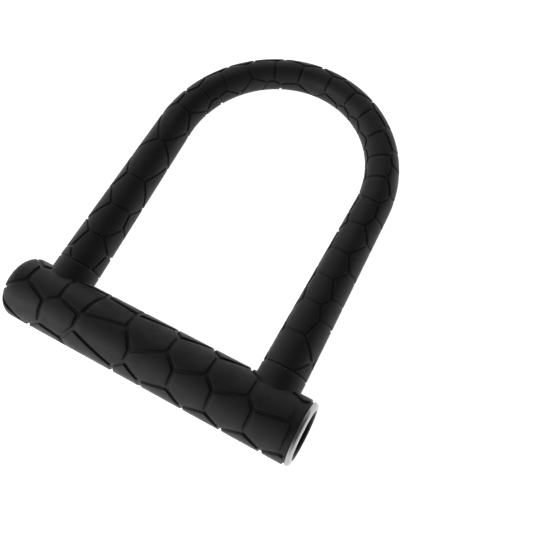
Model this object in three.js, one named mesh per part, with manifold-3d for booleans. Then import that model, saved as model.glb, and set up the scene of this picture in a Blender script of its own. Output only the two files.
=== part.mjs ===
// A U lock: a bent steel shackle in a silicone sleeve, whose two feet enter a steel crossbar tube
// with a silicone cover. The key turns a plug in one end of the crossbar. The plug carries a cam
// drum with a helical groove, which pushes one bar with two deadbolts into the feet.
//
// The crossbar runs along X with the key end at +X, the shackle points to +Y, and the lock lies
// flat, so +Z is up. Shapes are made about the crossbar's axis, and the whole group is then moved
// so that its origin is the middle of its base. Units are millimetres.

import * as THREE from "three";
import { mergeVertices } from "three/addons/utils/BufferGeometryUtils.js";
import Module from "manifold-3d";

const wasm = await Module();
wasm.setup();

// ---- Driving dimensions ----

// Clearance between pieces that touch or nest.
const GAP = 0.3;

// Crossbar: outer cover, steel tube and its two ends.
const COVER_RADIUS = 18.9;
const COVER_PLAIN_END_X = -96.8;
const COVER_KEY_END_X = 92.6;
const COVER_END_ROUNDING = 7;
const COVER_END_WALL = 2.7;
const COLLAR_TOP_Y = 25;
const TUBE_RADIUS = 15.3;
const TUBE_BORE = 12.8;
const TUBE_PLAIN_END_X = -93.8;
const TUBE_KEY_END_X = 87.6;
const INNER_DISC_RADIUS = TUBE_BORE - GAP;
const PLAIN_PLUG_X = [-93.3, -90.3];

// Key end: metal bezel, recessed face, dust shutter.
const BEZEL_RIM_X = 95.6;
const BEZEL_BORE = 14.3;
const BEZEL_INNER_CHAMFER = 0.5;
const BEZEL_RADIUS = 18.5;
// The shoulder's outline from the rim: [back from the rim, radius].
const BEZEL_SHOULDER = [[1.9, 18.5], [0.9, 17.9], [0.3, 17], [0, 15.9]];
const RECESS_FACE_X = 89.8;
const INSERT_BACK_X = 85.6;

// Shackle: a half-circle bow on two straight legs.
const LEG_X = 70;
const LEG_TOP_Y = 137.8;
const CORE_RADIUS = 7;
const SLEEVE_RADIUS = 13.6;
const SLEEVE_BOW_RADIUS = 9.7;
const FOOT_END_Y = 3;
const FOOT_CHAMFER = 1;
const LEG_HOLE_RADIUS = 8.5;
const BUSHING_BASE_Y = 11.9;

// Deadbolts: travel for a quarter turn of the key, and the bar that carries both.
const BOLT_TRAVEL = 5;
const BOLT_BASE_Y = 6.7;
const BOLT_THICKNESS = 3;
const BOLT_HALF_WIDTH = 5.5;
const BOLT_CLEARANCE = 0.4;
const NOTCH_SPARE_DEPTH = 1;
const UNDERPASS_TOP_Y = 2.6;
const FOOT_BYPASS = 7;
const GUIDE_X = [-44, -38];

// Lock cylinder, below the crossbar's axis so that the feet are deep enough.
const CYLINDER_Y = -4.5;
const HOUSING_RADIUS = 7;
const HOUSING_X = [55, 84.1];
const PLUG_RADIUS = 4.9;
const PLUG_BORE = 5.1;
const KEYWAY_HALF_HEIGHT = 3.5;
const KEYWAY_HALF_WIDTH = 1.1;
const WAFER_COUNT = 5;
const WAFER_FIRST_X = 58.6;
const WAFER_PITCH = 3.2;
const WAFER_THICKNESS = 1.2;
const WAFER_HALF_HEIGHT = 4;
const WAFER_HALF_WIDTH = 2.5;
const WAFER_WINDOW_HALF = [2.7, 1.4];
const CYLINDER_PIN_X = 79;
const CYLINDER_PIN_RADIUS = 1.5;
const CYLINDER_PIN_DRILL_TOP_Y = CYLINDER_Y - PLUG_BORE - 0.6;
const CLIP_THICKNESS = 0.8;
const CLIP_RADIUS = 5.2;

// Cam drum on the plug's tail.
const DRUM_RADIUS = 7.4;
const DRUM_X = [36, 53.4];
const DRUM_JOURNAL_RADIUS = 3;
const GROOVE_START_X = 40.5;
const GROOVE_HALF_WIDTH = 1.85;
const GROOVE_FLOOR_RADIUS = 4.8;
const FOLLOWER_RADIUS = 1.5;
const TAIL_HALF_SQUARE = 2;
const TAIL_ROUND_RADIUS = 3;
const TAIL_SOCKET_DEPTH = 6;
const BEARING_THICKNESS = 4;
const BEARING_STANDOFF = 1.5;

// Detent that holds the bolt bar at each end of its travel.
const DETENT_X = 6;
const DETENT_HOLE_RADIUS = 1.9;
const DETENT_BALL_RADIUS = 1.5;
const DETENT_BALL_Y = BOLT_BASE_Y - GAP - DETENT_BALL_RADIUS;
const DETENT_FLOOR_Y = -4;
const DETENT_WIRE = 0.25;

// Dust shutter over the key slot.
const SHUTTER_ARM = 6.4;
const SHUTTER_PIVOT_Y = CYLINDER_Y + SHUTTER_ARM;
const SHUTTER_RADIUS = 4.6;
const SHUTTER_HUB_RADIUS = 2.4;
const SHUTTER_THICKNESS = 1;
const SHUTTER_PIN_RADIUS = 0.8;
const SHUTTER_BACK_X = RECESS_FACE_X + GAP;
const SHUTTER_PIN_HEAD_RADIUS = 1.7;

// Roundness of the faceted solids.
const SIDES = 32;
const SMALL_SIDES = 16;
const TINY_SIDES = 10;

// ---- Solids ----

// A closed geometry as a solid, with its faces turned outwards.
function toSolid(geometry) {
  const bare = geometry.clone();
  bare.deleteAttribute("normal");
  bare.deleteAttribute("uv");
  const merged = mergeVertices(bare, 1e-4);
  const corners = merged.index.array;
  const triangles = [];
  for (let i = 0; i < corners.length; i += 3) {
    const [a, b, c] = [corners[i], corners[i + 1], corners[i + 2]];
    if (a !== b && b !== c && c !== a) triangles.push(a, b, c);
  }
  const vertProperties = merged.attributes.position.array;
  const solidFrom = (list) => {
    const triVerts = Uint32Array.from(list);
    return new wasm.Manifold(new wasm.Mesh({ numProp: 3, vertProperties, triVerts }));
  };
  const solid = solidFrom(triangles);
  return solid.volume() < 0 ? solidFrom(triangles.reverse()) : solid;
}

function toGeometry(solid) {
  const { vertProperties, triVerts } = solid.getMesh();
  const geometry = new THREE.BufferGeometry();
  geometry.setAttribute("position", new THREE.Float32BufferAttribute(vertProperties, 3));
  geometry.setIndex(new THREE.BufferAttribute(new Uint32Array(triVerts), 1));
  geometry.computeVertexNormals();
  return geometry;
}

function join(first, ...others) {
  return others.reduce((sum, solid) => sum.add(solid), first);
}

function cut(body, ...tools) {
  return tools.reduce((rest, tool) => rest.subtract(tool), body);
}

// A solid of revolution about X, from points [x, radius] on its outline.
function turned(outline, sides = SIDES) {
  const points = outline.map(([x, radius]) => new THREE.Vector2(radius, x));
  return toSolid(new THREE.LatheGeometry(points, sides).rotateZ(-Math.PI / 2));
}

// A round bar along X, from x = from to x = to.
function barX(from, to, radius, { y = 0, z = 0, sides = SIDES } = {}) {
  const bar = new THREE.CylinderGeometry(radius, radius, to - from, sides);
  bar.rotateZ(-Math.PI / 2).translate((from + to) / 2, y, z);
  return toSolid(bar);
}

// A round bar along Y, from y = from to y = to.
function barY(from, to, radius, { x = 0, z = 0, sides = SMALL_SIDES } = {}) {
  const bar = new THREE.CylinderGeometry(radius, radius, to - from, sides);
  return toSolid(bar.translate(x, (from + to) / 2, z));
}

// A washer or bush along X.
function ringX(from, to, inner, outer, sides = SIDES) {
  return turned([[from, inner], [from, outer], [to, outer], [to, inner], [from, inner]], sides);
}

function block([x0, x1], [y0, y1], [z0, z1]) {
  const box = new THREE.BoxGeometry(x1 - x0, y1 - y0, z1 - z0);
  return toSolid(box.translate((x0 + x1) / 2, (y0 + y1) / 2, (z0 + z1) / 2));
}

// A flat piece with the given outline in X and Y, centred on z = 0.
function plateXY(outline, halfThickness) {
  const shape = new THREE.Shape(outline.map(([x, y]) => new THREE.Vector2(x, y)));
  const plate = new THREE.ExtrudeGeometry(shape, { depth: 2 * halfThickness, bevelEnabled: false });
  return toSolid(plate.translate(0, 0, -halfThickness));
}

// ---- Curves ----

// The shackle's centre line: up one leg, round the bow, down the other leg.
class ShacklePath extends THREE.Curve {
  constructor(legBaseY) {
    super();
    this.legBaseY = legBaseY;
    this.legSteps = 3;
    this.bowSteps = 26;
    this.steps = 2 * this.legSteps + this.bowSteps;
  }

  getPoint(t, target = new THREE.Vector3()) {
    const step = t * this.steps;
    const fromEnd = Math.min(step, this.steps - step);
    const side = step < this.steps / 2 ? -1 : 1;
    if (fromEnd <= this.legSteps) {
      const rise = (LEG_TOP_Y - this.legBaseY) * (fromEnd / this.legSteps);
      return target.set(side * LEG_X, this.legBaseY + rise, 0);
    }
    const turn = Math.PI * ((step - this.legSteps) / this.bowSteps);
    return target.set(-LEG_X * Math.cos(turn), LEG_TOP_Y + LEG_X * Math.sin(turn), 0);
  }

  getUtoTmapping(u) {
    return u;
  }
}

// A coil spring's wire along Y.
class CoilPath extends THREE.Curve {
  constructor(radius, baseY, topY, turns) {
    super();
    Object.assign(this, { radius, baseY, topY, turns });
  }

  getPoint(t, target = new THREE.Vector3()) {
    const angle = 2 * Math.PI * this.turns * t;
    const y = this.baseY + (this.topY - this.baseY) * t;
    return target.set(this.radius * Math.cos(angle), y, this.radius * Math.sin(angle));
  }
}

function circleShape(radius, sides) {
  const points = [];
  for (let i = 0; i < sides; i++) {
    const angle = (2 * Math.PI * i) / sides;
    points.push(new THREE.Vector2(radius * Math.cos(angle), radius * Math.sin(angle)));
  }
  return new THREE.Shape(points);
}

// ---- Materials ----

function finish(color, roughness, metalness = 0) {
  return () => new THREE.MeshStandardMaterial({ color, roughness, metalness });
}

const silicone = finish(0x1b1b1c, 0.62);
const hardenedSteel = finish(0x8d8f92, 0.38, 1);
const satinZinc = finish(0xc9cacb, 0.34, 1);
const blackPlastic = finish(0x121213, 0.5);
const whiteNylon = finish(0xd8d6cf, 0.55);
const brass = finish(0xb99a4f, 0.35, 1);
const springSteel = finish(0x9b9da0, 0.3, 1);

// ---- Shackle ----

function shackleCore() {
  const baseY = FOOT_END_Y + FOOT_CHAMFER;
  let core = toSolid(barAlongShackle(baseY, CORE_RADIUS, SMALL_SIDES));
  for (const side of [-1, 1]) {
    const tip = new THREE.CylinderGeometry(
      CORE_RADIUS, CORE_RADIUS - FOOT_CHAMFER, FOOT_CHAMFER + GAP, SMALL_SIDES);
    tip.translate(side * LEG_X, baseY + (GAP - FOOT_CHAMFER) / 2, 0);
    core = core.add(toSolid(tip));
  }
  return cut(core, footNotch(1), footNotch(-1));
}

// The bolts move to +X, so each foot is notched on its -X side.
function footNotch(side) {
  const entry = side * LEG_X - CORE_RADIUS;
  const depth = BOLT_TRAVEL - BOLT_CLEARANCE + NOTCH_SPARE_DEPTH;
  const top = BOLT_BASE_Y + BOLT_THICKNESS + BOLT_CLEARANCE;
  return block(
    [entry - 1, entry + depth],
    [BOLT_BASE_Y - BOLT_CLEARANCE, top],
    [-CORE_RADIUS - 1, CORE_RADIUS + 1],
  );
}

function barAlongShackle(baseY, radius, sides) {
  const path = new ShacklePath(baseY);
  const section = circleShape(radius, sides);
  return new THREE.ExtrudeGeometry(section, { steps: path.steps, extrudePath: path });
}

function shackleSleeve() {
  const skin = barAlongShackle(COLLAR_TOP_Y + GAP, SLEEVE_RADIUS, 20);
  narrowTowardsBow(skin);
  const bore = barAlongShackle(COLLAR_TOP_Y, CORE_RADIUS + GAP, SMALL_SIDES);
  return cut(toSolid(skin), toSolid(bore));
}

// The sleeve is widest at the collars and narrows evenly to the top of the bow.
function narrowTowardsBow(skin) {
  const points = skin.attributes.position;
  for (let i = 0; i < points.count; i++) {
    const [x, y, z] = [points.getX(i), points.getY(i), points.getZ(i)];
    const fromBowCentre = Math.hypot(x, y - LEG_TOP_Y);
    const onBow = y > LEG_TOP_Y;
    const centreX = onBow ? (x * LEG_X) / fromBowCentre : Math.sign(x) * LEG_X;
    const centreY = onBow ? LEG_TOP_Y + ((y - LEG_TOP_Y) * LEG_X) / fromBowCentre : y;
    const share = (centreY - COLLAR_TOP_Y) / (LEG_TOP_Y + LEG_X - COLLAR_TOP_Y);
    const scale = 1 + (SLEEVE_BOW_RADIUS / SLEEVE_RADIUS - 1) * share;
    points.setXYZ(i, centreX + (x - centreX) * scale, centreY + (y - centreY) * scale, z * scale);
  }
}

// ---- Crossbar ----

function legHoles(radius) {
  return [-LEG_X, LEG_X].map((x) => barY(0, COLLAR_TOP_Y + 1, radius, { x, sides: 24 }));
}

function crossbarCover() {
  const corner = [];
  const cornerX = COVER_PLAIN_END_X + COVER_END_ROUNDING;
  const cornerR = COVER_RADIUS - COVER_END_ROUNDING;
  const cornerSteps = 5;
  for (let i = 0; i <= cornerSteps; i++) {
    const angle = (Math.PI / 2) * (i / cornerSteps);
    corner.push([
      cornerX - COVER_END_ROUNDING * Math.cos(angle),
      cornerR + COVER_END_ROUNDING * Math.sin(angle),
    ]);
  }
  const skin = turned([
    [COVER_PLAIN_END_X, 0],
    ...corner,
    [COVER_KEY_END_X, COVER_RADIUS],
    [COVER_KEY_END_X, 0],
  ]);
  const collars = [-LEG_X, LEG_X].map((x) => barY(0, COLLAR_TOP_Y, SLEEVE_RADIUS, { x, sides: 24 }));
  const cavity = barX(COVER_PLAIN_END_X + COVER_END_WALL, COVER_KEY_END_X + 1, TUBE_RADIUS + GAP);
  return cut(join(skin, ...collars), cavity, ...legHoles(LEG_HOLE_RADIUS));
}

function crossbarTube() {
  const tube = ringX(TUBE_PLAIN_END_X, TUBE_KEY_END_X, TUBE_BORE, TUBE_RADIUS);
  return cut(tube, ...legHoles(LEG_HOLE_RADIUS), cylinderPinHole());
}

function footBushing() {
  const ring = barY(BUSHING_BASE_Y, COLLAR_TOP_Y - GAP, LEG_HOLE_RADIUS - GAP, { sides: 24 });
  return ring.subtract(barY(0, COLLAR_TOP_Y + 1, CORE_RADIUS + GAP));
}

// The slot through a disc inside the tube that the bolt bar slides in.
function barWindow() {
  const top = BOLT_BASE_Y + BOLT_THICKNESS + BOLT_CLEARANCE;
  const halfWidth = BOLT_HALF_WIDTH + BOLT_CLEARANCE;
  return block([-100, 100], [BOLT_BASE_Y - BOLT_CLEARANCE, top], [-halfWidth, halfWidth]);
}

function carriageGuide(from, to) {
  return cut(barX(from, to, INNER_DISC_RADIUS), barWindow());
}

// ---- Detent that holds the bolt bar at each end of its travel ----

function detentGuide() {
  const guide = carriageGuide(DETENT_X - 4, DETENT_X + 4);
  return guide.subtract(barY(DETENT_FLOOR_Y, BOLT_BASE_Y, DETENT_HOLE_RADIUS, { x: DETENT_X }));
}

function detentSpring() {
  const top = DETENT_BALL_Y - DETENT_BALL_RADIUS - DETENT_WIRE - GAP;
  const coil = new CoilPath(1.2, DETENT_FLOOR_Y + DETENT_WIRE + GAP, top, 6);
  const section = circleShape(DETENT_WIRE, 5);
  return toSolid(new THREE.ExtrudeGeometry(section, { steps: 48, extrudePath: coil }));
}

function detentBall() {
  return toSolid(new THREE.SphereGeometry(DETENT_BALL_RADIUS, SMALL_SIDES, TINY_SIDES));
}

// ---- Key end ----

function endBezel() {
  return turned([
    [TUBE_KEY_END_X + GAP, BEZEL_BORE],
    [TUBE_KEY_END_X + GAP, TUBE_RADIUS],
    [COVER_KEY_END_X + GAP, TUBE_RADIUS],
    [COVER_KEY_END_X + GAP, BEZEL_RADIUS],
    ...BEZEL_SHOULDER.map(([back, radius]) => [BEZEL_RIM_X - back, radius]),
    [BEZEL_RIM_X, BEZEL_BORE + BEZEL_INNER_CHAMFER],
    [BEZEL_RIM_X - BEZEL_INNER_CHAMFER, BEZEL_BORE],
    [TUBE_KEY_END_X + GAP, BEZEL_BORE],
  ]);
}

// The black face inside the bezel, with the key slot and the shutter's pivot hole.
function keyEndInsert() {
  const insert = turned([
    [INSERT_BACK_X, 0],
    [INSERT_BACK_X, INNER_DISC_RADIUS],
    [TUBE_KEY_END_X + GAP, INNER_DISC_RADIUS],
    [TUBE_KEY_END_X + GAP, BEZEL_BORE - GAP],
    [RECESS_FACE_X, BEZEL_BORE - GAP],
    [RECESS_FACE_X, 0],
  ]);
  const slotY = KEYWAY_HALF_HEIGHT + GAP;
  const slotZ = KEYWAY_HALF_WIDTH + GAP;
  const slot = block(
    [INSERT_BACK_X - 1, RECESS_FACE_X + 1],
    [CYLINDER_Y - slotY, CYLINDER_Y + slotY],
    [-slotZ, slotZ],
  );
  const pivot = barX(RECESS_FACE_X - 2.5, RECESS_FACE_X + 1, SHUTTER_PIN_RADIUS + GAP, {
    y: SHUTTER_PIVOT_Y,
    sides: SMALL_SIDES,
  });
  return cut(insert, slot, pivot);
}

// A drop-shaped flap about its pivot: the wide end hangs over the key slot.
function keyholeShutter() {
  const tangent = Math.acos((SHUTTER_RADIUS - SHUTTER_HUB_RADIUS) / SHUTTER_ARM);
  const outline = new THREE.Shape();
  outline.absarc(-SHUTTER_ARM, 0, SHUTTER_RADIUS, tangent, 2 * Math.PI - tangent);
  outline.absarc(0, 0, SHUTTER_HUB_RADIUS, -tangent, tangent);
  const hole = new THREE.Path();
  hole.absarc(0, 0, SHUTTER_PIN_RADIUS + GAP, 0, 2 * Math.PI);
  outline.holes.push(hole);
  const flat = new THREE.ExtrudeGeometry(outline, {
    depth: SHUTTER_THICKNESS,
    bevelEnabled: false,
    curveSegments: 12,
  });
  // The outline's x becomes Y, its y becomes Z and its depth becomes X.
  flat.applyMatrix4(new THREE.Matrix4().set(0, 0, 1, 0, 1, 0, 0, 0, 0, 1, 0, 0, 0, 0, 0, 1));
  const ridgeY = -SHUTTER_ARM - 2;
  const ridge = block([SHUTTER_THICKNESS - 0.2, SHUTTER_THICKNESS + 0.5], [ridgeY, ridgeY + 1], [-2, 2]);
  return toSolid(flat).add(ridge);
}

function shutterPin() {
  const headBack = SHUTTER_BACK_X + SHUTTER_THICKNESS + GAP;
  return turned([
    [RECESS_FACE_X - 2.2, 0],
    [RECESS_FACE_X - 2.2, SHUTTER_PIN_RADIUS],
    [headBack, SHUTTER_PIN_RADIUS],
    [headBack, SHUTTER_PIN_HEAD_RADIUS],
    [headBack + 0.4, SHUTTER_PIN_HEAD_RADIUS],
    [headBack + 0.4, 0],
  ], SMALL_SIDES);
}

// ---- Lock cylinder, about its own axis ----

function cylinderPinHole() {
  const drill = CYLINDER_PIN_RADIUS + GAP;
  return barY(-TUBE_RADIUS - 1, CYLINDER_PIN_DRILL_TOP_Y, drill, { x: CYLINDER_PIN_X });
}

function cylinderHousing() {
  const [back, front] = HOUSING_X;
  const barrel = ringX(back, front, PLUG_BORE, HOUSING_RADIUS);
  const groove = WAFER_HALF_WIDTH + 2 * GAP;
  const grooveEnd = WAFER_FIRST_X + WAFER_COUNT * WAFER_PITCH;
  const wallLeft = 1.1;
  const reach = HOUSING_RADIUS - wallLeft;
  const waferGrooves = block([WAFER_FIRST_X - 2, grooveEnd], [-reach, reach], [-groove, groove]);
  return cut(barrel, waferGrooves, cylinderPinHole().translate([0, -CYLINDER_Y, 0]));
}

function cylinderPin() {
  const top = CYLINDER_PIN_DRILL_TOP_Y - GAP;
  return barY(-TUBE_RADIUS + 2 * GAP, top, CYLINDER_PIN_RADIUS, { x: CYLINDER_PIN_X });
}

function waferX(number) {
  return WAFER_FIRST_X + number * WAFER_PITCH;
}

function keyPlug() {
  const [back, front] = HOUSING_X;
  const shoulder = back + GAP;
  const head = front + GAP;
  const face = INSERT_BACK_X - GAP;
  const tailEnd = DRUM_X[1] + GAP;
  const square = [-TAIL_HALF_SQUARE, TAIL_HALF_SQUARE];
  const tail = block([DRUM_X[1] - TAIL_SOCKET_DEPTH + GAP, tailEnd + 1], square, square);
  const body = turned([
    [tailEnd, 0],
    [tailEnd, TAIL_ROUND_RADIUS],
    [shoulder, TAIL_ROUND_RADIUS],
    [shoulder, PLUG_RADIUS],
    [head, PLUG_RADIUS],
    [head, PLUG_RADIUS + 1],
    [face, PLUG_RADIUS + 1],
    [face, 0],
  ], 24);
  const keyway = block([WAFER_FIRST_X - 2, face + 1],
    [-KEYWAY_HALF_HEIGHT, KEYWAY_HALF_HEIGHT], [-KEYWAY_HALF_WIDTH, KEYWAY_HALF_WIDTH]);
  const slotHalf = WAFER_THICKNESS / 2 + GAP;
  const slotZ = WAFER_HALF_WIDTH + GAP;
  const slots = [];
  for (let i = 0; i < WAFER_COUNT; i++) {
    const x = waferX(i);
    slots.push(block([x - slotHalf, x + slotHalf], [-6, 6], [-slotZ, slotZ]));
  }
  return cut(join(body, tail), keyway, ...slots);
}

// Each wafer's window sits at its own height, as its key cut asks.
function wafer(number) {
  const half = WAFER_THICKNESS / 2;
  const shift = 0.3 * ((number * 2) % 3 - 1);
  const plate = block([-half, half],
    [-WAFER_HALF_HEIGHT, WAFER_HALF_HEIGHT], [-WAFER_HALF_WIDTH, WAFER_HALF_WIDTH]);
  const [windowY, windowZ] = WAFER_WINDOW_HALF;
  const window = block([-1, 1], [shift - windowY, shift + windowY], [-windowZ, windowZ]);
  return plate.subtract(window);
}

function plugClip() {
  const [back] = HOUSING_X;
  const face = back - GAP;
  const ring = ringX(face - CLIP_THICKNESS, face, TAIL_ROUND_RADIUS + GAP, CLIP_RADIUS, 24);
  const mouth = block([face - 1, face + 1], [0, CLIP_RADIUS + 1], [-2, 2]);
  return ring.subtract(mouth);
}

// Turning the drum by an angle brings the groove's point at that angle under the follower.
function camDrum() {
  const [back, front] = DRUM_X;
  const journalEnd = back - BEARING_STANDOFF - BEARING_THICKNESS;
  let drum = turned([
    [journalEnd, 0],
    [journalEnd, DRUM_JOURNAL_RADIUS],
    [back, DRUM_JOURNAL_RADIUS],
    [back, DRUM_RADIUS],
    [front, DRUM_RADIUS],
    [front, 0],
  ]);
  const socket = TAIL_HALF_SQUARE + GAP;
  drum = cut(drum, block([front - TAIL_SOCKET_DEPTH, front + 1], [-socket, socket], [-socket, socket]));
  const step = 7.5;
  for (let degrees = -step; degrees <= 90 + step; degrees += step) {
    const height = 5;
    const peg = new THREE.CylinderGeometry(GROOVE_HALF_WIDTH, GROOVE_HALF_WIDTH, height, 12);
    const x = GROOVE_START_X + BOLT_TRAVEL * (degrees / 90);
    peg.translate(x, GROOVE_FLOOR_RADIUS + height / 2, 0);
    peg.rotateX(-THREE.MathUtils.degToRad(degrees));
    drum = drum.subtract(toSolid(peg));
  }
  return drum;
}

function drumBearing() {
  const [back] = DRUM_X;
  const near = back - BEARING_STANDOFF;
  const disc = carriageGuide(near - BEARING_THICKNESS, near);
  const bore = barX(near - BEARING_THICKNESS - 1, near + 1, DRUM_JOURNAL_RADIUS + GAP, {
    y: CYLINDER_Y,
  });
  return disc.subtract(bore);
}

// ---- Bolt bar ----

// One bent bar. Its +X end is one bolt. It dips under the far foot and comes up behind it, where
// it turns back as the other bolt, so both bolts move to +X together.
function boltCarriage() {
  const low = BOLT_BASE_Y;
  const high = BOLT_BASE_Y + BOLT_THICKNESS;
  const underLow = UNDERPASS_TOP_Y - BOLT_THICKNESS;
  const keyTip = LEG_X - CORE_RADIUS - BOLT_CLEARANCE;
  const plainTip = -LEG_X - CORE_RADIUS - BOLT_CLEARANCE;
  const dipX = -LEG_X + CORE_RADIUS + FOOT_BYPASS;
  const riseX = plainTip - FOOT_BYPASS;
  const bar = plateXY([
    [keyTip, low],
    [keyTip, high],
    [dipX, high],
    [dipX, UNDERPASS_TOP_Y],
    [riseX, UNDERPASS_TOP_Y],
    [riseX, low],
    [plainTip, low],
    [plainTip, high],
    [riseX - BOLT_THICKNESS, high],
    [riseX - BOLT_THICKNESS, underLow],
    [dipX + BOLT_THICKNESS, underLow],
    [dipX + BOLT_THICKNESS, low],
  ], BOLT_HALF_WIDTH);
  const rivetHole = barY(low - 1, high + 1, FOLLOWER_RADIUS + GAP, { x: GROOVE_START_X });
  return bar.subtract(rivetHole);
}

function followerPin() {
  const tip = CYLINDER_Y + GROOVE_FLOOR_RADIUS + GAP;
  const top = BOLT_BASE_Y + BOLT_THICKNESS - 0.1;
  return barY(tip, top, FOLLOWER_RADIUS, { x: GROOVE_START_X });
}

// ---- Assembly ----

function addPart(group, name, solid, material, [x, y, z] = [0, 0, 0]) {
  const mesh = new THREE.Mesh(toGeometry(solid), material());
  mesh.name = name;
  mesh.position.set(x, y, z);
  group.add(mesh);
}

function buildShackle() {
  const group = new THREE.Group();
  addPart(group, "shackle_core", shackleCore(), hardenedSteel);
  addPart(group, "shackle_sleeve", shackleSleeve(), silicone);
  return group;
}

function buildCrossbar() {
  const group = new THREE.Group();
  addPart(group, "crossbar_cover", crossbarCover(), silicone);
  addPart(group, "crossbar_tube", crossbarTube(), hardenedSteel);
  addPart(group, "plain_end_plug", barX(...PLAIN_PLUG_X, INNER_DISC_RADIUS), hardenedSteel);
  addPart(group, "left_foot_bushing", footBushing(), blackPlastic, [-LEG_X, 0, 0]);
  addPart(group, "right_foot_bushing", footBushing(), blackPlastic, [LEG_X, 0, 0]);
  addPart(group, "end_bezel", endBezel(), satinZinc);
  addPart(group, "key_end_insert", keyEndInsert(), blackPlastic);
  addPart(group, "shutter_pin", shutterPin(), springSteel, [0, SHUTTER_PIVOT_Y, 0]);
  addPart(group, "cylinder_housing", cylinderHousing(), brass, [0, CYLINDER_Y, 0]);
  addPart(group, "cylinder_pin", cylinderPin(), springSteel);
  addPart(group, "drum_bearing", drumBearing(), hardenedSteel);
  addPart(group, "plain_end_guide", carriageGuide(...GUIDE_X), whiteNylon);
  addPart(group, "detent_guide", detentGuide(), whiteNylon);
  addPart(group, "detent_spring", detentSpring(), springSteel, [DETENT_X, 0, 0]);
  addPart(group, "detent_ball", detentBall(), springSteel, [DETENT_X, DETENT_BALL_Y, 0]);
  return group;
}

function buildPlug() {
  const group = new THREE.Group();
  group.position.y = CYLINDER_Y;
  addPart(group, "key_plug", keyPlug(), brass);
  for (let i = 0; i < WAFER_COUNT; i++) {
    addPart(group, `wafer_${i + 1}`, wafer(i), brass, [waferX(i), 0, 0]);
  }
  addPart(group, "plug_clip", plugClip(), springSteel);
  addPart(group, "cam_drum", camDrum(), hardenedSteel);
  return group;
}

function buildCarriage() {
  const group = new THREE.Group();
  addPart(group, "bolt_carriage", boltCarriage(), hardenedSteel);
  addPart(group, "follower_pin", followerPin(), springSteel);
  return group;
}

function buildShutter() {
  const group = new THREE.Group();
  group.position.set(SHUTTER_BACK_X, SHUTTER_PIVOT_Y, 0);
  addPart(group, "keyhole_shutter", keyholeShutter(), blackPlastic);
  return group;
}

const lock = new THREE.Group();
lock.add(buildCrossbar(), buildShackle(), buildPlug(), buildCarriage(), buildShutter());

// Origin: the middle of the lock's base.
const bowTopY = LEG_TOP_Y + LEG_X + SLEEVE_BOW_RADIUS;
lock.position.set(
  -(COVER_PLAIN_END_X + BEZEL_RIM_X) / 2,
  -(bowTopY - COVER_RADIUS) / 2,
  COVER_RADIUS,
);

export default lock;
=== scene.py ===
"""A bicycle U lock in black silicone, lying on a pale floor.

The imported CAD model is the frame. The silicone sleeve and cover are rebuilt here with their raised
plates, and the visible metal and plastic pieces at the ends are rebuilt smooth. Lengths are metres.
"""

import math
import random

import bmesh
import bpy
from mathutils import Matrix, Vector


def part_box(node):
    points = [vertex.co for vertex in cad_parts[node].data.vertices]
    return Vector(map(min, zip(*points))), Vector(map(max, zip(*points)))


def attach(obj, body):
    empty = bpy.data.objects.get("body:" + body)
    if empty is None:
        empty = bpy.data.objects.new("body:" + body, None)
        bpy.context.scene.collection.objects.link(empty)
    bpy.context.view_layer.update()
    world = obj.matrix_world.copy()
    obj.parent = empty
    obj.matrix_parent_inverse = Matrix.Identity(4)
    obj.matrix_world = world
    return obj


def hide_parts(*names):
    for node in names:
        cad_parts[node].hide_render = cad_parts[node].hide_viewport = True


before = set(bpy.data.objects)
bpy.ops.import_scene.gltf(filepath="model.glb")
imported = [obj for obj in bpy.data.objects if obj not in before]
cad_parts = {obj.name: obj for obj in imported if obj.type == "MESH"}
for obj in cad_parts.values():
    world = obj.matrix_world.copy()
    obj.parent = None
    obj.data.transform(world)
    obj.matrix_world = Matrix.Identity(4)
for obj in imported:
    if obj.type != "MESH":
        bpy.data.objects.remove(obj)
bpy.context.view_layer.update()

MM = 0.001
random.seed(11)

# ---- Sizes, read from the frame ----

cover_low, cover_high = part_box("crossbar_cover")
sleeve_low, sleeve_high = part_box("shackle_sleeve")
core_low, core_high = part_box("shackle_core")
tube_low, tube_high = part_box("crossbar_tube")
bezel_low, bezel_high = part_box("end_bezel")
insert_low, insert_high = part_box("key_end_insert")
shutter_low, shutter_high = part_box("keyhole_shutter")
pin_low, pin_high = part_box("shutter_pin")
bushing_low, bushing_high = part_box("right_foot_bushing")
plug_low, plug_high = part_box("key_plug")

BAR_RADIUS = (cover_high.z - cover_low.z) / 2
BAR_AXIS_Y = cover_low.y + BAR_RADIUS
AXIS_Z = cover_low.z + BAR_RADIUS
CORE_RADIUS = (core_high.z - core_low.z) / 2
MIDDLE_X = (core_low.x + core_high.x) / 2
LEG_X = (core_high.x - core_low.x) / 2 - CORE_RADIUS
BOW_Y = core_high.y - CORE_RADIUS - LEG_X
COLLAR_TOP_Y = cover_high.y
SLEEVE_RADIUS = (sleeve_high.z - sleeve_low.z) / 2
SLEEVE_BOW_RADIUS = sleeve_high.y - BOW_Y - LEG_X
TUBE_RADIUS = (tube_high.z - tube_low.z) / 2
GAP = 0.3 * MM

END_ROUNDING = 7 * MM
END_FLAT = 2.5 * MM
END_WALL = 2.7 * MM
LEG_HOLE_RADIUS = 8.5 * MM
BAR_RELIEF = (0.95 * MM, 1.2 * MM)
SLEEVE_RELIEF = (0.7 * MM, 0.8 * MM)
PLATE_PITCH = 22 * MM


# ---- Camera, floor and light ----

# The camera is fitted to the photo's outline. Its turns are in degrees, and its offset is in
# millimetres from the crossbar's middle.
CAMERA_TURNS = (38.57, 23.23, -11.05)
CAMERA_OFFSET = Vector((129.4, -43.7, 374.1))
CAMERA_LENS = 45.7
# Sideways and up, in widths of the sensor.
CAMERA_SHIFT = (0.0034, -0.0226)

FLOOR_GLOW = 1.0
FLOOR_HALF = 20.0

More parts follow.
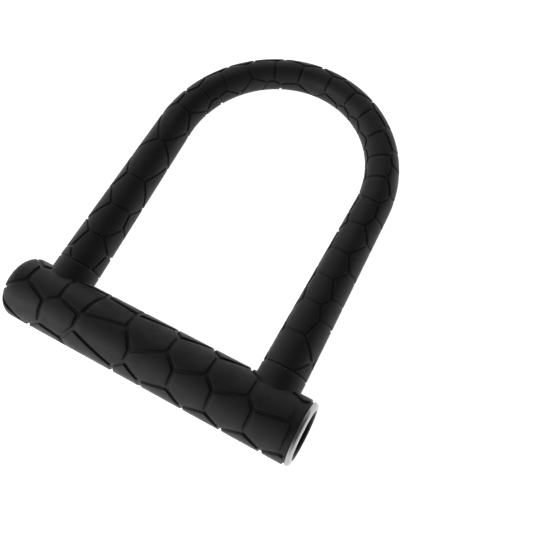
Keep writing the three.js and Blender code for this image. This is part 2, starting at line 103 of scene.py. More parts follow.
# Area lights: name, place, width, height and power in watts. They face the frame's origin.
AREA_LIGHTS = [
    ("key_light", (-0.9, -0.8, 0.5), 1.0, 0.5, 5),
    ("fill_light", (-0.5, 0.9, 0.8), 1.0, 0.8, 2),
]

# The room's brightness is the product of these fades: the axis of the direction looked in, where
# along it the fade starts and ends, and the brightness there.
ROOM = [
    ("Z", 0.15, 0.85, 1.5, 0.2),
    ("Y", -0.7, 0.5, 1.0, 0.6),
    ("X", -0.5, 0.6, 1.0, 0.4),
]


def view_rotation(first, second, third):
    """Camera axes from three turns in degrees about Z, the new X and the new Z."""
    turns = [(first, "Z"), (second, "X"), (third, "Z")]
    rotation = Matrix.Identity(3)
    for degrees, axis in turns:
        rotation = rotation @ Matrix.Rotation(math.radians(degrees), 3, axis)
    return rotation


def add_camera():
    data = bpy.data.cameras.new("camera")
    camera = bpy.data.objects.new("camera", data)
    bpy.context.scene.collection.objects.link(camera)
    rotation = view_rotation(*CAMERA_TURNS)
    centre = Vector((MIDDLE_X, BAR_AXIS_Y, AXIS_Z))
    place = Matrix.Translation(centre + CAMERA_OFFSET * MM)
    camera.matrix_world = place @ rotation.to_4x4()
    data.sensor_width = 36
    data.lens = CAMERA_LENS
    data.shift_x, data.shift_y = CAMERA_SHIFT
    data.clip_start = 0.01
    bpy.context.scene.camera = camera


def new_material(name):
    material = bpy.data.materials.new(name)
    material.use_nodes = True
    nodes = material.node_tree.nodes
    return material, nodes, material.node_tree.links, nodes["Principled BSDF"]


def add_floor():
    """A plane that touches both the crossbar and the bow, which is the thinner of the two."""
    reach = BOW_Y + LEG_X - BAR_AXIS_Y
    slope = math.asin((BAR_RADIUS - SLEEVE_BOW_RADIUS) / reach)
    mesh = bpy.data.meshes.new("floor")
    signs = [(-1, -1), (1, -1), (1, 1), (-1, 1)]
    corners = [(x * FLOOR_HALF, y * FLOOR_HALF, 0) for x, y in signs]
    mesh.from_pydata(corners, [], [(0, 1, 2, 3)])
    floor = bpy.data.objects.new("floor", mesh)
    bpy.context.scene.collection.objects.link(floor)
    tilt = Matrix.Rotation(slope, 4, "X")
    below_bar = Vector((0, BAR_AXIS_Y, AXIS_Z)) + tilt.to_3x3() @ Vector((0, 0, -BAR_RADIUS))
    floor.matrix_world = Matrix.Translation(below_bar) @ tilt
    material, _, _, shader = new_material("floor_paper")
    shader.inputs["Base Color"].default_value = (0.85, 0.85, 0.85, 1)
    shader.inputs["Roughness"].default_value = 0.8
    shader.inputs["Emission Color"].default_value = (1, 1, 1, 1)
    shader.inputs["Emission Strength"].default_value = FLOOR_GLOW
    mesh.materials.append(material)


def add_area_light(name, place, width, height, watts):
    data = bpy.data.lights.new(name, "AREA")
    data.shape = "RECTANGLE"
    data.size = width
    data.size_y = height
    data.energy = watts
    light = bpy.data.objects.new(name, data)
    bpy.context.scene.collection.objects.link(light)
    light.location = place
    light.rotation_euler = (-Vector(place)).to_track_quat("-Z", "Y").to_euler()


def add_light():
    """A white room that is brightest low in front, and dimmer overhead, behind and on the right."""
    world = bpy.data.worlds.new("studio")
    bpy.context.scene.world = world
    world.use_nodes = True
    nodes, links = world.node_tree.nodes, world.node_tree.links
    direction = nodes.new("ShaderNodeTexCoord")
    split = nodes.new("ShaderNodeSeparateXYZ")
    links.new(direction.outputs["Generated"], split.inputs[0])
    strength = None
    for axis, start, end, from_value, to_value in ROOM:
        fade = nodes.new("ShaderNodeMapRange")
        fade.interpolation_type = "SMOOTHSTEP"
        fade.inputs["From Min"].default_value = start
        fade.inputs["From Max"].default_value = end
        fade.inputs["To Min"].default_value = from_value
        fade.inputs["To Max"].default_value = to_value
        links.new(split.outputs[axis], fade.inputs["Value"])
        if strength is None:
            strength = fade.outputs["Result"]
            continue
        product = nodes.new("ShaderNodeMath")
        product.operation = "MULTIPLY"
        links.new(strength, product.inputs[0])
        links.new(fade.outputs["Result"], product.inputs[1])
        strength = product.outputs[0]
    background = nodes["Background"]
    background.inputs["Color"].default_value = (1, 1, 1, 1)
    links.new(strength, background.inputs["Strength"])
    bpy.context.scene.view_settings.view_transform = "Standard"
    for light in AREA_LIGHTS:
        add_area_light(*light)


# ---- Mesh tools ----

def mesh_object(name, mesh):
    piece = bpy.data.objects.new(name, mesh)
    bpy.context.scene.collection.objects.link(piece)
    return piece


def from_bmesh(name, bm):
    bmesh.ops.recalc_face_normals(bm, faces=bm.faces)
    mesh = bpy.data.meshes.new(name)
    bm.to_mesh(mesh)
    bm.free()
    return mesh_object(name, mesh)


def combine(piece, tool, operation):
    """Applies a boolean of two closed meshes and removes the tool."""
    change = piece.modifiers.new("change", "BOOLEAN")
    change.operation = operation
    change.solver = "MANIFOLD"
    change.object = tool
    bpy.context.view_layer.update()
    graph = bpy.context.evaluated_depsgraph_get()
    mesh = bpy.data.meshes.new_from_object(piece.evaluated_get(graph))
    piece.modifiers.clear()
    mesh.materials.clear()
    piece.data = mesh
    bpy.data.objects.remove(tool)


def shade(piece, degrees=35):
    """Smooth faces, with sharp edges kept where two faces meet at more than the angle."""
    mesh = piece.data
    mesh.polygons.foreach_set("use_smooth", [True] * len(mesh.polygons))
    mesh.set_sharp_from_angle(angle=math.radians(degrees))


def lathe(name, outline, centre, axis="X", segments=96):
    """A solid of revolution from [along, radius] points that start and end on the axis or close."""
    bm = bmesh.new()
    closed = outline[0] == outline[-1]
    points = outline[:-1] if closed else outline
    rings = []
    for along, radius in points:
        if radius == 0:
            rings.append([bm.verts.new(turn_point(along, 0, 0, axis))])
            continue
        ring = []
        for i in range(segments):
            angle = 2 * math.pi * i / segments
            ring.append(bm.verts.new(turn_point(along, radius, angle, axis)))
        rings.append(ring)
    pairs = list(zip(rings, rings[1:]))
    if closed:
        pairs.append((rings[-1], rings[0]))
    for one, two in pairs:
        join_rings(bm, one, two)
    bmesh.ops.translate(bm, verts=bm.verts, vec=Vector(centre))
    return from_bmesh(name, bm)


def turn_point(along, radius, angle, axis):
    across = radius * math.cos(angle)
    up = radius * math.sin(angle)
    return (along, across, up) if axis == "X" else (across, along, up)


def join_rings(bm, one, two):
    """Faces between two rings of vertices, either of which may be a single point."""
    count = max(len(one), len(two))
    for i in range(count):
        near = [one[i % len(one)], one[(i + 1) % len(one)]]
        far = [two[(i + 1) % len(two)], two[i % len(two)]]
        unique = list(dict.fromkeys(near + far))
        if len(unique) > 2:
            bm.faces.new(unique)


# ---- Raised plates on a round skin ----

SHORTEST_EDGE = 0.0001 * MM
WELD_DISTANCE = 0.002 * MM
END_TOLERANCE = 0.01 * MM
OUTLINE_STEP = 1.15 * MM


def clip(polygon, point, normal):
    """The part of a convex polygon behind the line through point, seen along its normal."""
    kept = []
    for a, b in zip(polygon, polygon[1:] + polygon[:1]):
        ahead_a = (a - point).dot(normal)
        ahead_b = (b - point).dot(normal)
        if ahead_a <= 0:
            kept.append(a)
        if ahead_a * ahead_b < 0:
            kept.append(a + (b - a) * (ahead_a / (ahead_a - ahead_b)))
    return kept


def plate_outline(seed, seeds, length, girth):
    """The seed's cell of the unrolled skin. A seed is (s, a, reach). The wall between two seeds
    is halfway when their reaches are equal. Between seeds a pitch apart it is half the
    difference nearer to the one that reaches less, and all walls meet at shared corners."""
    s, a, own_reach = seed
    centre = Vector((s, a))
    cell = [Vector((0, a - girth / 2)), Vector((length, a - girth / 2)),
            Vector((length, a + girth / 2)), Vector((0, a + girth / 2))]
    for other_s, other_a, reach in seeds:
        for turn in (-girth, 0, girth):
            towards = Vector((other_s, other_a + turn)) - centre
            if towards.length > SHORTEST_EDGE:
                share = 0.5 + (own_reach - reach) * PLATE_PITCH / (2 * towards.length_squared)
                cell = clip(cell, centre + towards * share, towards.normalized())
    return cell


def split_edges(polygon, step):
    """The polygon's outline with its edges split into pieces of about one step."""
    points = []
    for a, b in zip(polygon, polygon[1:] + polygon[:1]):
        if (b - a).length < SHORTEST_EDGE:
            continue
        count = max(1, round((b - a).length / step))
        points += [a + (b - a) * (i / count) for i in range(count)]
    return points


class Plate:
    """One cell of the skin and its rings, from the channel's middle to the plate's centre."""

    CORNER_SHARPNESS = 60

    def __init__(self, outline):
        self.centre = sum(outline, Vector((0, 0))) / len(outline)
        self.rim = split_edges(outline, OUTLINE_STEP)
        self.walls = []
        for a, b in zip(outline, outline[1:] + outline[:1]):
            along = b - a
            if along.length < SHORTEST_EDGE:
                continue
            normal = Vector((along.y, -along.x)).normalized()
            distance = (a - self.centre).dot(normal)
            if distance < 0:
                normal, distance = -normal, -distance
            self.walls.append((normal, distance))

    def ring(self, inset):
        """The outline drawn in by an inset, with softly rounded corners."""
        points = []
        for point in self.rim:
            arm = point - self.centre
            total = 0.0
            for normal, distance in self.walls:
                reach = arm.dot(normal) / max(distance - inset, 1e-6)
                if reach > 0:
                    total += reach ** self.CORNER_SHARPNESS
            points.append(self.centre + arm * min(1.0, total ** (-1 / self.CORNER_SHARPNESS)))
        return points


def plate_rings(half_channel, height):
    """How far in from the cell's edge, and how far below the top, each ring of a plate is."""
    return [(half_channel, height), (half_channel + 0.35 * height, 0.14 * height),
            (half_channel + 0.45 * height, 0.03 * height), (half_channel + 0.65 * height, 0.0)]


# The rings that fill a plate's top, as shares of its last outline.
INNER_RINGS = [0.8, 0.58, 0.36, 0.16]


def plated_skin(seeds, length, girth, place, relief):
    """A tube-like skin with a plate round each seed (s, a, reach, raised). place(s, a, drop)
    gives the point at length s and girth a, the drop being measured below the plates' tops.
    The relief is half the channels' width, and their depth."""
    bm = bmesh.new()
    along = bm.verts.layers.float.new("along")
    around = bm.verts.layers.float.new("around")

    def vertex(point, drop):
        made = bm.verts.new(place(point.x, point.y, drop))
        made[along] = point.x
        made[around] = point.y % girth
        return made

    places = [seed[:3] for seed in seeds]
    insets = plate_rings(*relief)
    depth = relief[1]
    for s, a, reach, raised in seeds:
        outline = plate_outline((s, a, reach), places, length, girth)
        if len(outline) < 3:
            continue
        plate = Plate(outline)
        rings = [[vertex(p, depth) for p in plate.rim]]
        last, top = plate.rim, depth
        if raised:
            for inset, drop in insets:
                rings.append([vertex(p, drop) for p in plate.ring(inset)])
            last, top = plate.ring(insets[-1][0]), 0.0
        for share in INNER_RINGS:
            rings.append([vertex(plate.centre + (p - plate.centre) * share, top) for p in last])
        rings.append([vertex(plate.centre, top)])
        for outer, inner in zip(rings, rings[1:]):
            join_rings(bm, outer, inner)
    bmesh.ops.remove_doubles(bm, verts=bm.verts, dist=WELD_DISTANCE)
    return bm, along, around


def close_end(bm, layers, end, girth, place, steps):
    """Closes the skin's open end: rings at the given [further along, drop] and then a fan."""
    along, around = layers
    loose = {v for e in bm.edges if len(e.link_faces) == 1 for v in e.verts}
    at_end = [v for v in loose if abs(v[along] - end) < END_TOLERANCE]
    rim = sorted(at_end, key=lambda v: v[around])
    ring = rim
    for further, drop in steps:
        made = []
        for v in rim:
            new = bm.verts.new(place(end + further, v[around], drop))
            made.append(new)
        join_rings(bm, ring, made)
        ring = made
    centre = sum((v.co for v in ring), Vector()) / len(ring)
    join_rings(bm, ring, [bm.verts.new(centre)])


# ---- Crossbar cover ----

class BarSurface:
    """The cover's outer surface. s runs from the key end to the plain end and over its rounding."""

    def __init__(self):
        self.girth = 2 * math.pi * BAR_RADIUS
        self.straight = cover_high.x - cover_low.x - END_ROUNDING
        self.arc = END_ROUNDING * math.pi / 2
        self.length = self.straight + self.arc + END_FLAT

    def __call__(self, s, a, drop):
        if s <= self.straight:
            x = cover_high.x - s
            radius = BAR_RADIUS
            slope = (0, 1)
        elif s <= self.straight + self.arc:
            turn = (s - self.straight) / END_ROUNDING
            x = cover_low.x + END_ROUNDING - END_ROUNDING * math.sin(turn)
            radius = BAR_RADIUS - END_ROUNDING + END_ROUNDING * math.cos(turn)
            slope = (-math.sin(turn), math.cos(turn))
        else:
            x = cover_low.x
            radius = BAR_RADIUS - END_ROUNDING - (s - self.straight - self.arc)
            slope = (-1, 0)
        x -= slope[0] * drop
        radius -= slope[1] * drop
        angle = a / BAR_RADIUS
        return Vector((x, BAR_AXIS_Y + radius * math.sin(angle), AXIS_Z + radius * math.cos(angle)))


# Rows of plates round the crossbar: the row's angle from straight up, in degrees towards the
# shackle, and the places of its plates along X from the crossbar's middle, in millimetres. A
# plate can also be (place, degrees above its row, how much further it reaches in millimetres).
BAR_ROWS = [
    (27, [-96, -70.5, (-51, 6, 0), (-31, -7, 0), -1.5, 25, 49, 76]),
    (-35, [-79, (-56, 3, 0), (-28, 5, 6), 7.5, 32, 56, 79.5]),
    (-94, [-95, -60, (-34, 18, 8), (-7, 3, 0), (14, 0, 4), 40.5, 66.5, 90]),
    (-153, [-78, -52, -27, -3, 23, 49, 74]),
    (148, [-92, -67, -42, -15, 10, 36, 61, 84]),
    (88, [-80, -52, -28, -6, 18, 42, 66, 88]),
]
# The skin beside the bezel isn't raised. Its cells' seeds are this far from the crossbar's middle.
LOW_BAND_X = 100 * MM
COVER_EDGE = 0.4 * MM
COLLAR_WIDENING = 1.5 * MM
COLLAR_BASE = 6 * MM
COLLAR_NECK = 3 * MM
COLLAR_STEPS = 10


def bar_seeds(surface):
    seeds = []
    for degrees, plates in BAR_ROWS:
        for plate in plates:
            x, turn, reach = plate if isinstance(plate, tuple) else (plate, 0, 0)
            s = cover_high.x - (MIDDLE_X + x * MM)
            seeds.append((s, math.radians(degrees + turn) * BAR_RADIUS, reach * MM, True))
        s = cover_high.x - MIDDLE_X - LOW_BAND_X
        seeds.append((s, math.radians(degrees) * BAR_RADIUS, 0, False))
    return seeds


def collar(x):
    """A short round sleeve on the cover that widens a little towards the crossbar."""
    top = COLLAR_TOP_Y
    edge = COVER_EDGE
    base, neck = BAR_AXIS_Y + COLLAR_BASE, top - COLLAR_NECK
    outline = [(BAR_AXIS_Y, 0), (BAR_AXIS_Y, SLEEVE_RADIUS + COLLAR_WIDENING)]
    for i in range(COLLAR_STEPS + 1):
        share = i / COLLAR_STEPS
        outline.append((base + (neck - base) * share,
                        SLEEVE_RADIUS + COLLAR_WIDENING * (1 - share) ** 2))
    outline += [(top - edge, SLEEVE_RADIUS), (top - 0.3 * edge, SLEEVE_RADIUS - 0.3 * edge),
                (top, SLEEVE_RADIUS - edge), (top, 0)]
    return lathe("collar", outline, (x, 0, AXIS_Z), axis="Y")


def crossbar_cover():
    surface = BarSurface()
    bm, along, around = plated_skin(bar_seeds(surface), surface.length, surface.girth, surface,
                                    BAR_RELIEF)
    layers = (along, around)
    wall, depth = BAR_RELIEF
    edge = COVER_EDGE
    close_end(bm, layers, 0, surface.girth, surface,
              [(-0.3 * edge, depth + 0.3 * edge), (0, depth + edge), (0, depth + 2 * edge)])
    close_end(bm, layers, surface.length, surface.girth, surface,
              [(wall, depth), (wall + 0.2 * MM, 0.1 * depth), (wall + 0.6 * MM, 0),
               (wall + 3 * MM, 0)])
    cover = from_bmesh("crossbar_skin", bm)
    for x in (MIDDLE_X - LEG_X, MIDDLE_X + LEG_X):
        combine(cover, collar(x), "UNION")
    bore = TUBE_RADIUS + GAP
    inside = [(cover_low.x + END_WALL, 0), (cover_low.x + END_WALL, bore),
              (cover_high.x + MM, bore), (cover_high.x + MM, 0)]
    combine(cover, lathe("inside", inside, (0, BAR_AXIS_Y, AXIS_Z)), "DIFFERENCE")
    for x in (MIDDLE_X - LEG_X, MIDDLE_X + LEG_X):
        hole = [(BAR_AXIS_Y, 0), (BAR_AXIS_Y, LEG_HOLE_RADIUS),
                (COLLAR_TOP_Y + MM, LEG_HOLE_RADIUS), (COLLAR_TOP_Y + MM, 0)]
        combine(cover, lathe("hole", hole, (x, 0, AXIS_Z), axis="Y"), "DIFFERENCE")
    shade(cover)
    return cover


# ---- Shackle sleeve and core ----

class ShackleSurface:
    """A round skin along the U. s goes up the plain-end leg, round the bow and down the other."""

    def __init__(self, base_radius, crown_radius, base_y):
        self.base_radius = base_radius
        self.crown_radius = crown_radius
        self.base_y = base_y
        self.mean_radius = (base_radius + crown_radius) / 2
        self.girth = 2 * math.pi * self.mean_radius
        self.leg = BOW_Y - base_y
        self.bow = math.pi * LEG_X
        self.length = 2 * self.leg + self.bow

    def centre(self, s):
        """The point on the centre line, and the direction that faces out of the U."""
        if s < self.leg:
            return Vector((MIDDLE_X - LEG_X, self.base_y + s, AXIS_Z)), Vector((-1, 0, 0))
        if s > self.leg + self.bow:
            return (Vector((MIDDLE_X + LEG_X, self.base_y + self.length - s, AXIS_Z)),
                    Vector((1, 0, 0)))
        turn = (s - self.leg) / LEG_X
        out = Vector((-math.cos(turn), math.sin(turn), 0))
        return Vector((MIDDLE_X, BOW_Y, AXIS_Z)) + out * LEG_X, out

    def radius(self, y):
        """The radius narrows evenly from the collars to the top of the bow."""
        share = (y - COLLAR_TOP_Y) / (BOW_Y + LEG_X - COLLAR_TOP_Y)
        return self.base_radius + (self.crown_radius - self.base_radius) * share

    def __call__(self, s, a, drop):
        point, out = self.centre(s)
        angle = a / self.mean_radius
        up = Vector((0, 0, 1))
        reach = self.radius(point.y) - drop
        return point + (out * math.sin(angle) + up * math.cos(angle)) * reach


# The lengths, in millimetres, of the plates that follow each other along the top of the sleeve.
SLEEVE_PLATES = [18, 23, 22, 30, 34, 16, 13, 17, 18, 19, 25, 16, 18, 16, 15, 14, 18, 16, 18, 22,
                 17, 18, 22]
# Rows of plates round the sleeve: degrees from straight up towards the outside of the U, whether
# the row is staggered against the first one, and how much its plates are out of place (a share).
SLEEVE_ROWS = [(-22, False, 0.14), (-104, True, 0.3), (160, False, 0.25), (66, True, 0.3)]
# How far a share of 1 puts a plate out of place: degrees round the sleeve, and along it.
LOOSE_TURN = 60
LOOSE_SHIFT = 20 * MM


def sleeve_seeds(surface):
    scale = surface.length / sum(SLEEVE_PLATES)
    ends = [0.0]
    for plate in SLEEVE_PLATES:
        ends.append(ends[-1] + plate * scale)
    middles = [(a + b) / 2 for a, b in zip(ends, ends[1:])]
    seeds = []
    for degrees, staggered, looseness in SLEEVE_ROWS:
        for s in ends if staggered else middles:
            shift = random.uniform(-looseness, looseness)
            turn = random.uniform(-1, 1) * LOOSE_TURN * looseness
            a = math.radians(degrees + turn) * surface.mean_radius
            seeds.append((s + shift * LOOSE_SHIFT, a, 0, True))
    return seeds


def sweep(name, surface, segments=48, bow_steps=72):
    """A plain closed bar along the U."""
    bm = bmesh.new()
    stations = [0.0] + [surface.leg + surface.bow * i / bow_steps for i in range(bow_steps + 1)]
    stations.append(surface.length)
    rings = []
    for s in stations:
        rings.append([bm.verts.new(surface(s, surface.girth * i / segments, 0))
                      for i in range(segments)])
    for one, two in zip(rings, rings[1:]):
        join_rings(bm, one, two)
    bm.faces.new(rings[0])
    bm.faces.new(rings[-1])
    return from_bmesh(name, bm)


def shackle_sleeve():
    surface = ShackleSurface(SLEEVE_RADIUS, SLEEVE_BOW_RADIUS, sleeve_low.y)
    bm, along, around = plated_skin(sleeve_seeds(surface), surface.length, surface.girth, surface,
                                    SLEEVE_RELIEF)
    for end in (0, surface.length):
        close_end(bm, (along, around), end, surface.girth, surface,
                  [(0, SLEEVE_RELIEF[1] + 0.5 * MM)])
    sleeve = from_bmesh("shackle_skin", bm)
    bore = CORE_RADIUS + GAP
    combine(sleeve, sweep("bore", ShackleSurface(bore, bore, sleeve_low.y - MM)), "DIFFERENCE")
    shade(sleeve)
    return sleeve


FOOT_CHAMFER = 1.0 * MM
FOOT_SEGMENTS = 48
NOTCH_DEPTH = 5.6 * MM
NOTCH_LOW = 3.3 * MM
NOTCH_HIGH = 7.1 * MM


def block(name, low, high):
    bm = bmesh.new()
    bmesh.ops.create_cube(bm, size=1)
    for v in bm.verts:
        v.co = Vector([(a + b) / 2 + c * (b - a) for a, b, c in zip(low, high, v.co)])
    return from_bmesh(name, bm)


def shackle_bar():
    """The steel bar, its feet chamfered and notched for the bolts on the side towards -X."""
    foot = core_low.y
    bar = sweep("shackle_bar", ShackleSurface(CORE_RADIUS, CORE_RADIUS, foot + FOOT_CHAMFER))
    for x in (MIDDLE_X - LEG_X, MIDDLE_X + LEG_X):
        inner = CORE_RADIUS - FOOT_CHAMFER
        tip = [(foot, 0), (foot, inner), (foot + FOOT_CHAMFER, CORE_RADIUS),
               (foot + 2 * FOOT_CHAMFER, CORE_RADIUS), (foot + 2 * FOOT_CHAMFER, 0)]
        end = lathe("tip", tip, (x, 0, AXIS_Z), axis="Y", segments=FOOT_SEGMENTS)
        combine(bar, end, "UNION")
        edge = x - CORE_RADIUS
        notch = block("notch", (edge - 5 * MM, foot + NOTCH_LOW, AXIS_Z - 2 * CORE_RADIUS),
                      (edge + NOTCH_DEPTH, foot + NOTCH_HIGH, AXIS_Z + 2 * CORE_RADIUS))
        combine(bar, notch, "DIFFERENCE")
    shade(bar)
    return bar


# ---- Key end ----

BEZEL_RADIUS = (bezel_high.z - bezel_low.z) / 2
BEZEL_BORE = (insert_high.z - insert_low.z) / 2 + GAP
SHOULDER_STEPS = 10
SHOULDER_DEPTH = 2.2 * MM
RIM_RADIUS = 16.2 * MM
# The thickness of a black lining up the bezel's bore. It is painted shade in the recess, not a piece
# of the frame.
PAINTED_SHADE_LINING = 0.45 * MM
TUBE_WALL = 2.5 * MM
# The key slot's width and height.
KEY_SLOT = (2.8 * MM, 7.6 * MM)
KEY_GUIDE_RADIUS = 6.6 * MM
PIVOT_Y = (pin_low.y + pin_high.y) / 2
PIVOT_BORE_RADIUS = 1.1 * MM
SHUTTER_HUB_RADIUS = 2.4 * MM
THUMB_RIDGE_HALF = 2.0 * MM


def end_bezel():
    """A ring whose outer edge is rolled over into a narrow flat rim."""
    rim = bezel_high.x
    shoulder = cover_high.x + GAP
    chamfer = 0.5 * MM
    outline = [(bezel_low.x, BEZEL_BORE), (bezel_low.x, TUBE_RADIUS), (shoulder, TUBE_RADIUS),
               (shoulder, BEZEL_RADIUS - 0.4 * MM), (shoulder + 0.15 * MM, BEZEL_RADIUS)]
    for i in range(SHOULDER_STEPS + 1):
        turn = math.pi / 2 * i / SHOULDER_STEPS
        outline.append((rim - SHOULDER_DEPTH * (1 - math.sin(turn)),
                        RIM_RADIUS + (BEZEL_RADIUS - RIM_RADIUS) * math.cos(turn)))
    outline += [(rim, BEZEL_BORE + chamfer), (rim - 0.6 * chamfer, BEZEL_BORE + 0.3 * chamfer),
                (rim - 1.4 * chamfer, BEZEL_BORE), (bezel_low.x, BEZEL_BORE)]
    bezel = lathe("bezel_ring", outline, (0, BAR_AXIS_Y, AXIS_Z), segments=160)
    shade(bezel)
    return bezel


def pivot_bore(low, high):
    """The tool that drills the shutter pin's hole between two places along X."""
    outline = [(low, 0), (low, PIVOT_BORE_RADIUS), (high, PIVOT_BORE_RADIUS), (high, 0)]
    return lathe("pivot_bore", outline, (0, PIVOT_Y, AXIS_Z), segments=32)


def key_end_insert():
    """The black face in the recess, with a raised guide and the key slot in it. A black lining up
    the bezel's bore, which the frame doesn't have, is painted shade in the recess."""
    face = shutter_low.x - GAP
    back = insert_low.x
    step = bezel_low.x
    body = TUBE_RADIUS - TUBE_WALL - GAP
    wide = BEZEL_BORE - 0.05 * MM
    mouth = bezel_high.x - 0.1 * MM
    flare = BEZEL_BORE + 0.4 * MM
    centre = (0, BAR_AXIS_Y, AXIS_Z)
    # From the bezel's back out to its mouth and in again to the face, the outline is a black lining
    # of the bezel's bore: painted shade in the recess.
    outline = [(back, 0), (back, body - 0.3 * MM), (back + 0.3 * MM, body), (step, body),
               (step, wide), (mouth - 0.8 * MM, wide), (mouth, flare), (mouth, flare - 0.2 * MM),
               (mouth - 0.9 * MM, wide - PAINTED_SHADE_LINING), (face + 0.8 * MM, wide - PAINTED_SHADE_LINING),
               (face + 0.2 * MM, wide - PAINTED_SHADE_LINING - 0.3 * MM), (face, wide - PAINTED_SHADE_LINING - 0.9 * MM),
               (face, 0)]
    insert = lathe("key_end_face", outline, centre, segments=128)
    plug_y = (plug_low.y + plug_high.y) / 2
    guide = [(face - MM, 0), (face - MM, KEY_GUIDE_RADIUS), (face + 0.12 * MM, KEY_GUIDE_RADIUS),
             (face + 0.25 * MM, KEY_GUIDE_RADIUS - 0.2 * MM), (face + 0.25 * MM, 0)]
    combine(insert, lathe("guide", guide, (0, plug_y, AXIS_Z), segments=64), "UNION")
    width, height = KEY_SLOT
    slot = block("slot", (back - MM, plug_y - height / 2, AXIS_Z - width / 2),
                 (face + MM, plug_y + height / 2, AXIS_Z + width / 2))
    combine(insert, slot, "DIFFERENCE")
    combine(insert, pivot_bore(pin_low.x - GAP, face + MM), "DIFFERENCE")
    shade(insert)
    return insert


def keyhole_shutter():
    """A teardrop flap with rounded edges and a small thumb ridge."""
    disc = (shutter_high.z - shutter_low.z) / 2
    hub = SHUTTER_HUB_RADIUS
    disc_y = shutter_low.y + disc
    hub_y = shutter_high.y - hub
    tangent = math.acos((disc - hub) / (hub_y - disc_y))
    back = shutter_low.x
    front = shutter_high.x - 0.5 * MM
    bm = bmesh.new()

    def outline(x, inset):
        ring = []
        for centre_y, radius, start, end, steps in (
                (disc_y, disc, tangent, 2 * math.pi - tangent, 48),
                (hub_y, hub, -tangent, tangent, 24)):
            for i in range(steps + 1):
                angle = start + (end - start) * i / steps
                ring.append(bm.verts.new((x, centre_y + (radius - inset) * math.cos(angle),
                                          AXIS_Z + (radius - inset) * math.sin(angle))))
        return ring

    edge = 0.25 * MM
    rings = [outline(back, 0.12 * MM), outline(back + 0.12 * MM, 0), outline(front - edge, 0),
             outline(front - 0.3 * edge, 0.3 * edge), outline(front, edge)]
    for one, two in zip(rings, rings[1:]):
        join_rings(bm, one, two)
    bm.faces.new(rings[0])
    bm.faces.new(rings[-1])
    shutter = from_bmesh("shutter_flap", bm)
    ridge_x = (front - 0.3 * MM, shutter_high.x)
    ridge_y = disc_y - 1.5 * MM
    ridge_outline = [(ridge_x[0], 0), (ridge_x[0], THUMB_RIDGE_HALF),
                     (ridge_x[1] - 0.25 * MM, THUMB_RIDGE_HALF),
                     (ridge_x[1], THUMB_RIDGE_HALF - 0.25 * MM), (ridge_x[1], 0)]
    ridge = lathe("ridge", ridge_outline, (0, 0, 0), segments=48)
    for v in ridge.data.vertices:
        v.co.y = v.co.y * 0.25 + ridge_y
        v.co.z += AXIS_Z
    combine(shutter, ridge, "UNION")
    combine(shutter, pivot_bore(back - MM, front + MM), "DIFFERENCE")
    shade(shutter)
    return shutter


def shutter_pin():
    """A pin with a domed head."""
    head = (pin_high.z - pin_low.z) / 2
    shank = 0.8 * MM
    under = pin_high.x - 0.4 * MM
    outline = [(pin_low.x, 0), (pin_low.x, shank - 0.15 * MM), (pin_low.x + 0.15 * MM, shank),
               (under, shank), (under, head)]
    for i in range(1, 7):
        turn = math.pi / 2 * i / 6
        outline.append((under + 0.1 * MM + 0.3 * MM * math.sin(turn), head * math.cos(turn)))
    outline[-1] = (pin_high.x, 0)
    pin = lathe("pivot_pin", outline, (0, PIVOT_Y, AXIS_Z), segments=48)
    shade(pin)
    return pin


def foot_bushing(name, x):
    """A thin ring with a rounded mouth that the shackle's foot slides in."""
    outer = (bushing_high.z - bushing_low.z) / 2
    inner = CORE_RADIUS + GAP
    low, high = bushing_low.y, bushing_high.y
    lead = 0.5 * MM
    outline = [(low, inner), (low, outer - 0.2 * MM), (low + 0.2 * MM, outer),
               (high - 0.1 * MM, outer), (high, outer - 0.1 * MM), (high, inner + lead),
               (high - 0.3 * lead, inner + 0.3 * lead), (high - lead, inner), (low, inner)]
    ring = lathe(name, outline, (x, 0, AXIS_Z), axis="Y")
    shade(ring)
    return ring


# ---- Materials ----

SHEEN_ROUGHNESS = 0.22


def noise(nodes, links, scale, detail=4, stretch=(1, 1, 1)):
    """Noise in the object's own metres; stretch above 1 draws it finer along that axis."""
    place = nodes.new("ShaderNodeTexCoord")
    mapping = nodes.new("ShaderNodeMapping")
    mapping.inputs["Scale"].default_value = stretch
    links.new(place.outputs["Object"], mapping.inputs["Vector"])
    texture = nodes.new("ShaderNodeTexNoise")
    texture.inputs["Scale"].default_value = scale
    texture.inputs["Detail"].default_value = detail
    links.new(mapping.outputs["Vector"], texture.inputs["Vector"])
    return texture.outputs["Fac"]


def spread(nodes, links, value, low, high, sharp=0.3):
    """The noise's middle range stretched to run from low to high."""
    remap = nodes.new("ShaderNodeMapRange")
    remap.inputs["From Min"].default_value = sharp
    remap.inputs["From Max"].default_value = 1 - sharp
    remap.inputs["To Min"].default_value = low
    remap.inputs["To Max"].default_value = high
    links.new(value, remap.inputs["Value"])
    return remap.outputs["Result"]


def finish(name, dark, light, roughness, metallic=0.0, specular=0.5, sheen=0.0,
           grain=(2500, 0.00002), stretch=(1, 1, 1), blotch=45):
    """A surface that drifts between two colours, with uneven roughness and a fine grain."""
    material, nodes, links, shader = new_material(name)
    shader.inputs["Metallic"].default_value = metallic
    shader.inputs["Specular IOR Level"].default_value = specular
    shader.inputs["Sheen Weight"].default_value = sheen
    shader.inputs["Sheen Roughness"].default_value = SHEEN_ROUGHNESS
    mix = nodes.new("ShaderNodeMix")
    mix.data_type = "RGBA"
    mix.inputs["A"].default_value = (*dark, 1)
    mix.inputs["B"].default_value = (*light, 1)
    drift = noise(nodes, links, blotch, 6)
    links.new(spread(nodes, links, drift, 0, 1), mix.inputs["Factor"])
    links.new(mix.outputs["Result"], shader.inputs["Base Color"])
    smudge = noise(nodes, links, blotch * 5, 5, stretch)
    links.new(spread(nodes, links, smudge, *roughness), shader.inputs["Roughness"])
    scale, depth = grain
    bump = nodes.new("ShaderNodeBump")
    bump.inputs["Distance"].default_value = depth
    links.new(noise(nodes, links, scale, 3, stretch), bump.inputs["Height"])
    links.new(bump.outputs["Normal"], shader.inputs["Normal"])
    return material


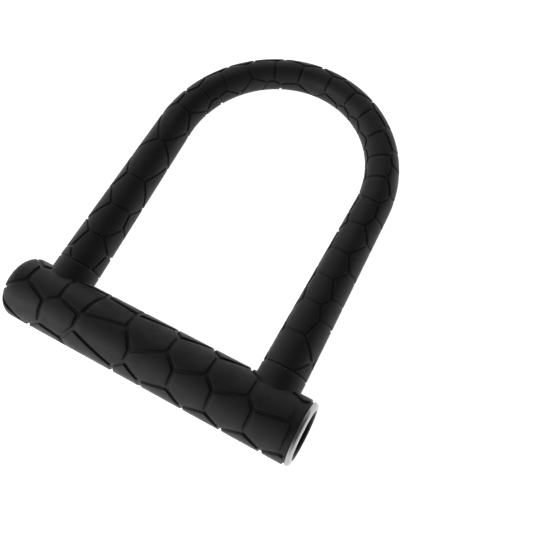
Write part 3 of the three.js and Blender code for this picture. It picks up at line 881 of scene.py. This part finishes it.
MATERIALS = {
    "silicone": finish("silicone", (0.0075, 0.0075, 0.008), (0.0105, 0.0105, 0.011), (0.5, 0.62),
                       specular=0.3, sheen=0.45, grain=(1800, 0.00004), blotch=30),
    "hardened_steel": finish("hardened_steel", (0.36, 0.37, 0.39), (0.46, 0.47, 0.48),
                             (0.24, 0.4), metallic=1, stretch=(1, 1, 6)),
    "satin_zinc": finish("satin_zinc", (0.33, 0.332, 0.33), (0.42, 0.422, 0.42), (0.24, 0.36),
                         metallic=1, grain=(3000, 0.00001), stretch=(5, 1, 1)),
    "black_plastic": finish("black_plastic", (0.006, 0.006, 0.0065), (0.01, 0.01, 0.011),
                            (0.42, 0.55), specular=0.4, grain=(4000, 0.00001)),
    "white_nylon": finish("white_nylon", (0.74, 0.73, 0.68), (0.82, 0.81, 0.77), (0.4, 0.52)),
    "brass": finish("brass", (0.68, 0.47, 0.2), (0.8, 0.59, 0.29), (0.22, 0.36), metallic=1,
                    stretch=(1, 4, 4)),
    "spring_steel": finish("spring_steel", (0.24, 0.245, 0.26), (0.32, 0.325, 0.34), (0.3, 0.42),
                           metallic=1),
}


# ---- Build ----

def add_piece(piece, body, slot, *nodes):
    piece.data.materials.append(MATERIALS[slot])
    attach(piece, body)
    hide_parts(*nodes)


add_camera()
add_floor()
add_light()

left, right = MIDDLE_X - LEG_X, MIDDLE_X + LEG_X
add_piece(crossbar_cover(), "crossbar", "silicone", "crossbar_cover")
add_piece(shackle_sleeve(), "shackle", "silicone", "shackle_sleeve")
add_piece(shackle_bar(), "shackle", "hardened_steel", "shackle_core")
add_piece(end_bezel(), "crossbar", "satin_zinc", "end_bezel")
add_piece(key_end_insert(), "crossbar", "black_plastic", "key_end_insert")
add_piece(keyhole_shutter(), "shutter", "black_plastic", "keyhole_shutter")
add_piece(shutter_pin(), "crossbar", "spring_steel", "shutter_pin")
add_piece(foot_bushing("left_bushing", left), "crossbar", "black_plastic", "left_foot_bushing")
add_piece(foot_bushing("right_bushing", right), "crossbar", "black_plastic", "right_foot_bushing")

INNER_PIECES = {
    "hardened_steel": ["crossbar_tube", "plain_end_plug", "drum_bearing", "cam_drum",
                       "bolt_carriage"],
    "white_nylon": ["plain_end_guide", "detent_guide"],
    "brass": ["cylinder_housing", "key_plug", "wafer_1", "wafer_2", "wafer_3", "wafer_4",
              "wafer_5"],
    "spring_steel": ["cylinder_pin", "detent_spring", "detent_ball", "plug_clip", "follower_pin"],
}
for slot, names in INNER_PIECES.items():
    for name in names:
        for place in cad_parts[name].material_slots:
            place.material = MATERIALS[slot]
